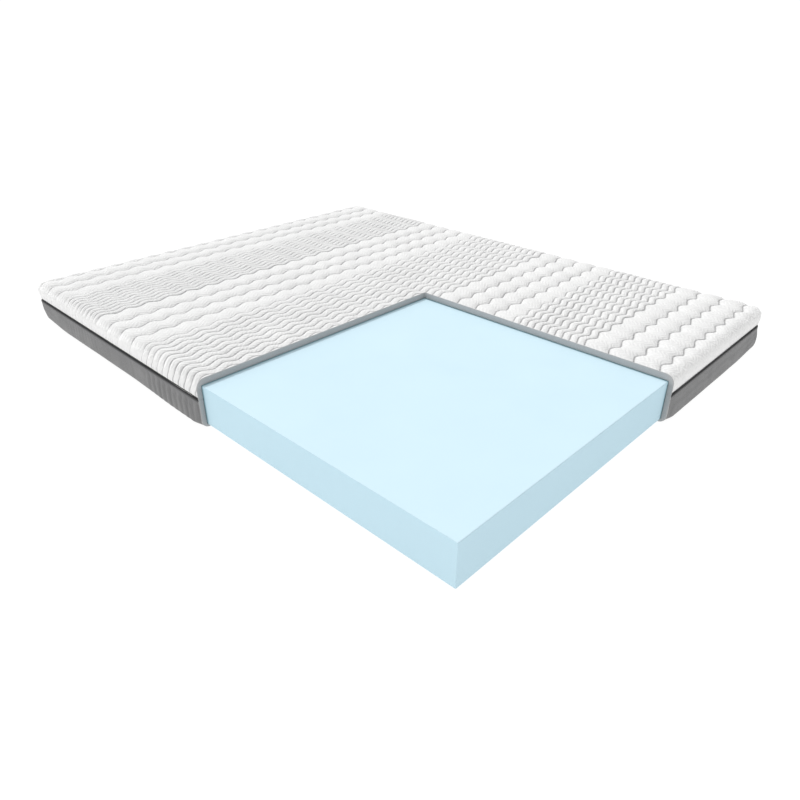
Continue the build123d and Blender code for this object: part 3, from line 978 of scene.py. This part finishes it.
def zip_parts():
    zip_tape("upper_tape", "upper_zip_tape", "upper_cover", GROOVE_TOP, -1, 0.0)
    zip_tape("lower_tape", "lower_zip_tape", "lower_cover", GROOVE_BOTTOM, 1, 0.0038)
    stop_low, stop_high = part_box("upper_zip_stop")
    slider_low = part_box("slider_body")[0]
    room = 0.001
    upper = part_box("upper_zip_teeth")
    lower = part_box("lower_zip_teeth")
    zip_teeth("upper_teeth", "upper_zip_teeth", "upper_cover", upper[0].z, upper[1].z, 0.0,
              (slider_low.y - room - TOOTH_WIDTH / 2, stop_high.y + TOOTH_WIDTH / 2))
    zip_teeth("lower_teeth", "lower_zip_teeth", "lower_cover", lower[0].z, lower[1].z, 0.5,
              (stop_low.y - TOOTH_WIDTH / 2, stop_high.y + TOOTH_WIDTH / 2))


# ---------------------------------------------------------------- bindings on the cut edge

BINDING_BULGE = 0.0034


def upper_cut_line():
    """The cut section's outer and inner line from the zip up, over the edge and on to the flat top,
    as (depth, height) pairs."""
    radius = TOP_EDGE_RADIUS
    low = UPPER_BINDING_LOW
    pairs = [((0.0, z), (CAVITY_DEPTH, z)) for z in np.linspace(low, TOP_Z - radius, 7)]
    steps = 9
    for i in range(1, steps + 1):
        angle = math.pi / 2 * i / steps
        outer = (radius - radius * math.cos(angle), TOP_Z - radius + radius * math.sin(angle))
        share = i / steps
        if share < 0.5:
            inner = (CAVITY_DEPTH, TOP_Z - radius + (CAVITY_TOP - TOP_Z + radius) * share * 2)
        else:
            inner = (CAVITY_DEPTH + (radius - CAVITY_DEPTH) * (share * 2 - 1), CAVITY_TOP)
        pairs.append((outer, inner))
    return pairs


def lower_cut_line():
    """As upper_cut_line, from the zip down, round the bottom edge and on to the flat underside."""
    radius = BOTTOM_EDGE_RADIUS
    high = LOWER_BINDING_HIGH
    pairs = [((0.0, z), (CAVITY_DEPTH, z)) for z in np.linspace(high, BAND_LOW + radius, 9)]
    steps = 9
    for i in range(1, steps + 1):
        angle = math.pi / 2 * i / steps
        outer = (radius - radius * math.cos(angle), BAND_LOW + radius - radius * math.sin(angle))
        share = i / steps
        if share < 0.5:
            inner = (CAVITY_DEPTH, BAND_LOW + radius + (CAVITY_LOW - BAND_LOW - radius) * share * 2)
        else:
            inner = (CAVITY_DEPTH + (radius - CAVITY_DEPTH) * (share * 2 - 1), CAVITY_LOW)
        pairs.append((outer, inner))
    return pairs


def station(outer_place, inner_place, facing):
    """One rung of the binding: its outer and inner edge, and the way its face looks."""
    return Vector(outer_place), Vector(inner_place), Vector(facing)


def cut_binding(name, node, body, pairs, flat_outer, flat_inner, proud):
    """A padded fabric binding on the whole cut edge: up one wall, over both flat runs, down the other."""
    middle_x, middle_y = CUT_X + BINDING / 2, CUT_Y + BINDING / 2
    stations = []
    for outer, inner in pairs:
        stations.append(station(
            (-HALF_X + outer[0], middle_y, outer[1]), (-HALF_X + inner[0], middle_y, inner[1]), (0, -1, 0)
        ))
    first_x = stations[-1][0].x
    runs = 90
    for i in range(1, runs):
        x = first_x + (middle_x - first_x) * i / runs
        stations.append(station((x, middle_y, flat_outer), (x, middle_y, flat_inner), (0, -1, 0)))
    stations.append(station(
        (middle_x, middle_y, flat_outer), (middle_x, middle_y, flat_inner), (-1, -1, 0)
    ))
    last_y = -HALF_Y + pairs[-1][0][0]
    for i in range(1, runs):
        y = middle_y + (last_y - middle_y) * i / runs
        stations.append(station((middle_x, y, flat_outer), (middle_x, y, flat_inner), (-1, 0, 0)))
    for outer, inner in reversed(pairs):
        stations.append((
            Vector((middle_x, -HALF_Y + outer[0], outer[1])),
            Vector((middle_x, -HALF_Y + inner[0], inner[1])),
            Vector((-1, 0, 0)),
        ))
    points = []
    ring = 16
    for outer, inner, toward in stations:
        centre = (outer + inner) / 2
        half = (outer - inner) / 2
        half = half * (1 + proud / half.length)
        for k in range(ring):
            angle = 2 * math.pi * k / ring
            across = math.copysign(abs(math.cos(angle)) ** 0.45, math.cos(angle))
            through = math.copysign(abs(math.sin(angle)) ** 0.8, math.sin(angle))
            points.append(centre + half * across + toward * (BINDING_BULGE / 2 * through))
    faces = grid_faces(len(stations), ring, close_columns=True)
    faces.append(list(range(ring)))
    faces.append(list(range((len(stations) - 1) * ring, len(stations) * ring))[::-1])
    piece = make_piece(name, points, faces, [BINDING_CLOTH])
    bm = bmesh.new()
    bm.from_mesh(piece.data)
    bmesh.ops.recalc_face_normals(bm, faces=bm.faces[:])
    bm.to_mesh(piece.data)
    bm.free()
    sharpen(piece, 70)
    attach(piece, body)
    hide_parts(node)
    return piece


def cut_bindings():
    upper, lower = upper_cut_line(), lower_cut_line()
    heights = (TOP_Z, CAVITY_TOP)
    cut_binding("top_edge_binding", "upper_cut_binding", "upper_cover", upper, *heights, 0.0004)
    heights = (BAND_LOW, CAVITY_LOW)
    cut_binding("bottom_edge_binding", "lower_cut_binding", "lower_cover", lower, *heights, 0.0)


# ---------------------------------------------------------------- underside and foam

def l_outline(depth, radius, count):
    """The mattress's plan at a depth, without the cut-away corner, as a loop of (x, y)."""
    inset_x, inset_y = HALF_X - depth, HALF_Y - depth
    centres = (
        ((-inset_x + radius, inset_y - radius), 180),
        ((inset_x - radius, inset_y - radius), 90),
        ((inset_x - radius, -inset_y + radius), 0),
    )
    outline = [(-inset_x, CUT_Y + BINDING)]
    for centre, first in centres:
        outline += arc(centre, radius, first, first - 90, count)
    outline += [(CUT_X + BINDING, -inset_y), (CUT_X + BINDING, CUT_Y + BINDING)]
    return outline


def bottom_panel():
    """The underside panel: grey grip fabric below and lining above, with softly rounded edges."""
    edge = 0.001
    levels = ((edge, 0.0), (0.0, edge), (0.0, CAVITY_LOW - edge), (edge, CAVITY_LOW))
    radius = PLAN_RADIUS - SEAM_DEPTH
    points, count = [], 0
    for inset, z in levels:
        outline = l_outline(SEAM_DEPTH + inset, radius - inset, 6)
        count = len(outline)
        points += [(x, y, z) for x, y in outline]
    faces = grid_faces(len(levels), count, close_columns=True)
    kinds = [0] * (2 * count) + [1] * count
    faces += [list(range(count)), list(range(3 * count, 4 * count))[::-1]]
    slots = [BOTTOM_FABRIC, LINING]
    piece = make_piece("bottom_panel", points, faces, slots, kinds + [0, 1], smooth=False)
    bm = bmesh.new()
    bm.from_mesh(piece.data)
    bmesh.ops.recalc_face_normals(bm, faces=bm.faces[:])
    bm.to_mesh(piece.data)
    bm.free()
    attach(piece, "lower_cover")
    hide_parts("bottom_panel_fabric", "bottom_panel_wadding")


def bottom_seam():
    """The overlocked seam between the side band and the underside panel."""
    section = arc((SEAM_DEPTH, 0.0022), 0.0016, 0, 315, 8)
    piece = sweep("bottom_seam", section, 0.02, [BINDING_CLOTH])
    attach(piece, "lower_cover")
    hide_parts("bottom_seam_tape")


FOAM_CORNER_RADIUS = 0.025
FOAM_EDGE = 0.0025


def foam_block():
    """The foam core: sharp at the bare corner and along its edges, rounded inside the cover's corners."""
    bm = bmesh.new()
    bmesh.ops.create_cube(bm, size=1.0)
    size = FOAM_HIGH - FOAM_LOW
    centre = (FOAM_HIGH + FOAM_LOW) / 2
    for vertex in bm.verts:
        vertex.co = Vector((vertex.co.x * size.x, vertex.co.y * size.y, vertex.co.z * size.z)) + centre
    upright = [e for e in bm.edges if abs(e.verts[0].co.z - e.verts[1].co.z) > size.z / 2]
    covered = [e for e in upright if not (e.verts[0].co.x < 0 and e.verts[0].co.y < 0)]
    bmesh.ops.bevel(bm, geom=covered, offset=FOAM_CORNER_RADIUS, segments=8, profile=0.5, affect="EDGES")
    sharp = [e for e in bm.edges if e.calc_face_angle(0) > math.radians(60)]
    bmesh.ops.bevel(bm, geom=sharp, offset=FOAM_EDGE, segments=3, profile=0.5, affect="EDGES")
    mesh = bpy.data.meshes.new("foam_block")
    bm.to_mesh(mesh)
    bm.free()
    mesh.materials.append(FOAM)
    mesh.polygons.foreach_set("use_smooth", np.full(len(mesh.polygons), True))
    piece = bpy.data.objects.new("foam_block", mesh)
    bpy.context.scene.collection.objects.link(piece)
    normals = piece.modifiers.new("flat_faces", "WEIGHTED_NORMAL")
    normals.weight = 100
    normals.keep_sharp = True
    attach(piece, "foam")
    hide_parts("foam_core")


def metal_parts():
    """The CAD's own slider, crown, pull and stops, in lacquered metal."""
    for node in ("slider_body", "slider_crown", "pull_tab", "upper_zip_stop", "lower_zip_stop"):
        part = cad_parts[node]
        part.data.materials.clear()
        part.data.materials.append(ZIP_METAL)


# ---------------------------------------------------------------- floor, light and camera

CAMERA_PLACE = Vector((-1.5494, -1.5693, 0.9893))
CAMERA_AIM = (0.72044, 0.69352)
CAMERA_PITCH = math.radians(29.879)
CAMERA_LENS = 30.16
FLOOR_SIZE = 800.0
WALL_HEIGHT = 30.0


def camera():
    data = bpy.data.cameras.new("camera")
    data.lens = CAMERA_LENS
    data.sensor_width = 36.0
    data.clip_end = 2000.0
    view = bpy.data.objects.new("camera", data)
    bpy.context.scene.collection.objects.link(view)
    level = math.cos(CAMERA_PITCH)
    forward = Vector((CAMERA_AIM[0] * level, CAMERA_AIM[1] * level, -math.sin(CAMERA_PITCH)))
    view.location = CAMERA_PLACE
    view.rotation_euler = forward.to_track_quat("-Z", "Y").to_euler()
    bpy.context.scene.camera = view


def floor():
    half = FLOOR_SIZE / 2
    material, nodes, links, shader = new_material("floor")
    shader.inputs["Base Color"].default_value = (0.12, 0.12, 0.12, 1)
    shader.inputs["Roughness"].default_value = 0.9
    shader.inputs["Specular IOR Level"].default_value = 0.0
    shader.inputs["Emission Color"].default_value = (1, 1, 1, 1)
    shader.inputs["Emission Strength"].default_value = 0.94
    corners = [(-half, -half), (half, -half), (half, half), (-half, half)]
    points = [(x, y, z) for z in (0, WALL_HEIGHT) for x, y in corners]
    walls = [(i, (i + 1) % 4, (i + 1) % 4 + 4, i + 4) for i in range(4)]
    ground = make_piece("floor", points, [(0, 1, 2, 3)] + walls, [material], smooth=False)


SKY_SIDE = Vector((-0.45, 0.90, 0.0))
SKY_DARK, SKY_BRIGHT = 0.62, 1.08
KEY_TRAVEL = Vector((-0.30, -0.71, -0.92))
KEY_STRENGTH = 1.85


def sky():
    """A white studio, brighter towards the head end and dimmer behind the viewer."""
    world = bpy.data.worlds.new("studio")
    bpy.context.scene.world = world
    world.use_nodes = True
    nodes, links = world.node_tree.nodes, world.node_tree.links
    where = nodes.new("ShaderNodeTexCoord")
    facing = nodes.new("ShaderNodeVectorMath")
    facing.operation = "DOT_PRODUCT"
    facing.inputs[1].default_value = SKY_SIDE.normalized()
    links.new(where.outputs["Generated"], facing.inputs[0])
    strength = value_range(nodes, links, facing.outputs["Value"], -1.0, 0.6, SKY_DARK, SKY_BRIGHT)
    links.new(strength, nodes["Background"].inputs["Strength"])
    nodes["Background"].inputs["Color"].default_value = (1, 1, 1, 1)


def key_light():
    data = bpy.data.lights.new("key", "SUN")
    data.energy = KEY_STRENGTH
    data.angle = math.radians(12)
    key = bpy.data.objects.new("key", data)
    key.rotation_euler = KEY_TRAVEL.to_track_quat("-Z", "Y").to_euler()
    bpy.context.scene.collection.objects.link(key)


camera()
quilted_top()
side_band()
zip_parts()
cut_bindings()
bottom_panel()
bottom_seam()
foam_block()
metal_parts()
floor()
sky()
key_light()
bpy.context.scene.view_settings.view_transform = "Standard"
